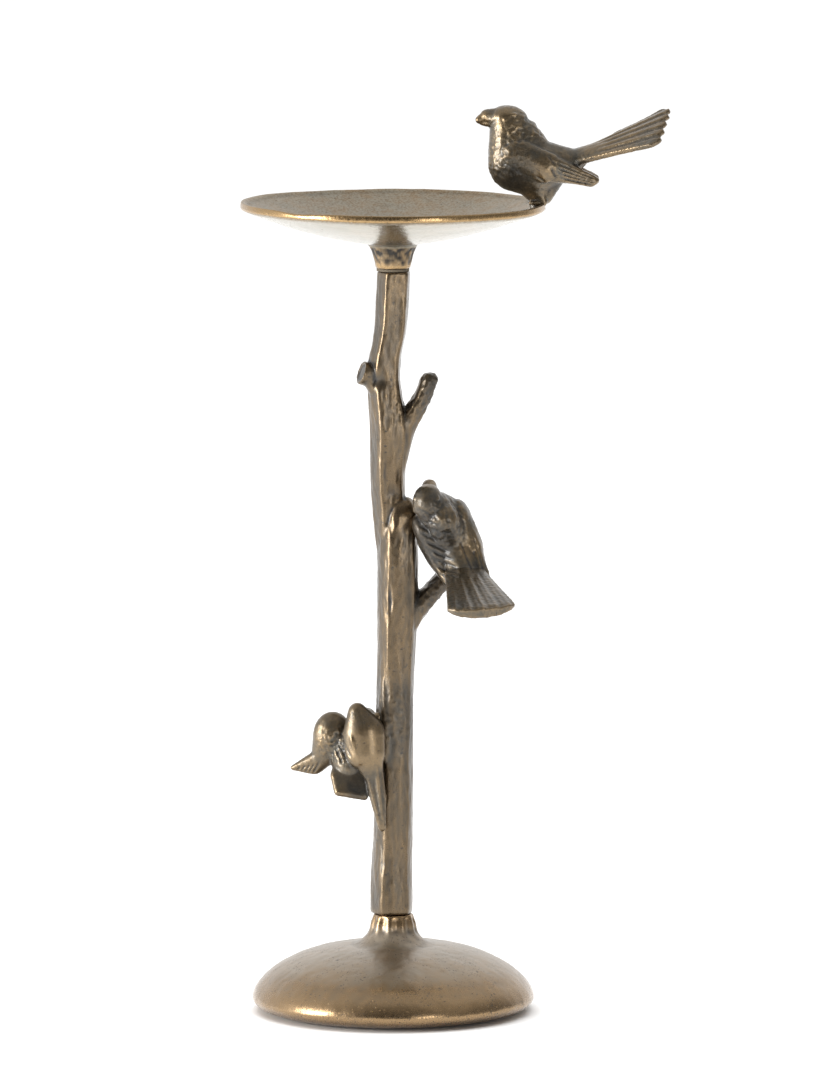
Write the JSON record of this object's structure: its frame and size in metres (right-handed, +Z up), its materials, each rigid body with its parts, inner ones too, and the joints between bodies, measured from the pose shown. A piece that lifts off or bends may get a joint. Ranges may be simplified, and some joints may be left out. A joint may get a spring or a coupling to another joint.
{
  "type": "table-top bird bath stand",
  "caption": "Shallow round dish on a branch-shaped cast stem and domed base, with small cast birds on the rim, a twig and the trunk.",
  "frame": {"origin": "centre of the underside, on the surface the stand rests on", "axes": "+Z up along the base, the lower trunk and the dish; +X towards the rim bird and the twigs; -Y is the front, where the trunk bird's tail points"},
  "size_m": [0.1768, 0.125, 0.3746],
  "materials": {
    "bronze_cast": "cast aluminium in a pitted golden antique bronze finish",
    "bronze_bark": "cast aluminium bark in a dark antique bronze finish, rubbed bright on the ridges",
    "bronze_feather": "cast aluminium feathers, dark in the grooves and polished on the high spots",
    "felt": "dark wool felt",
    "fibre": "dark vulcanised fibre",
    "steel": "zinc-plated steel"
  },
  "bodies": {
    "stand": {"base_shell": "bronze_cast", "felt_pad": "felt", "base_bolt": "steel", "base_washer": "steel", "stem": "bronze_bark", "dish_stud": "steel", "twig_bird": "bronze_feather", "twig_bird_pin": "steel", "trunk_bird": "bronze_feather", "trunk_bird_pin": "steel"},
    "collar_washer": {"dish_washer": "fibre"},
    "dish": {"dish": "bronze_cast", "rim_bird": "bronze_feather", "rim_bird_screw": "steel"}
  },
  "joints": [
    {"name": "dish_rise", "type": "slide", "parent": "stand", "child": "collar_washer", "axis": [0, 0, 1], "range_m": [0, 0.0094]},
    {"name": "dish_turn", "type": "hinge", "parent": "collar_washer", "child": "dish", "pos_m": [0, 0, 0.312], "axis": [0, 0, 1], "range_deg": [0, 2700]}
  ],
  "couplings": [
    {"joint": "dish_rise", "follows": "dish_turn", "m_per_rad": 0.00019894}
  ]
}
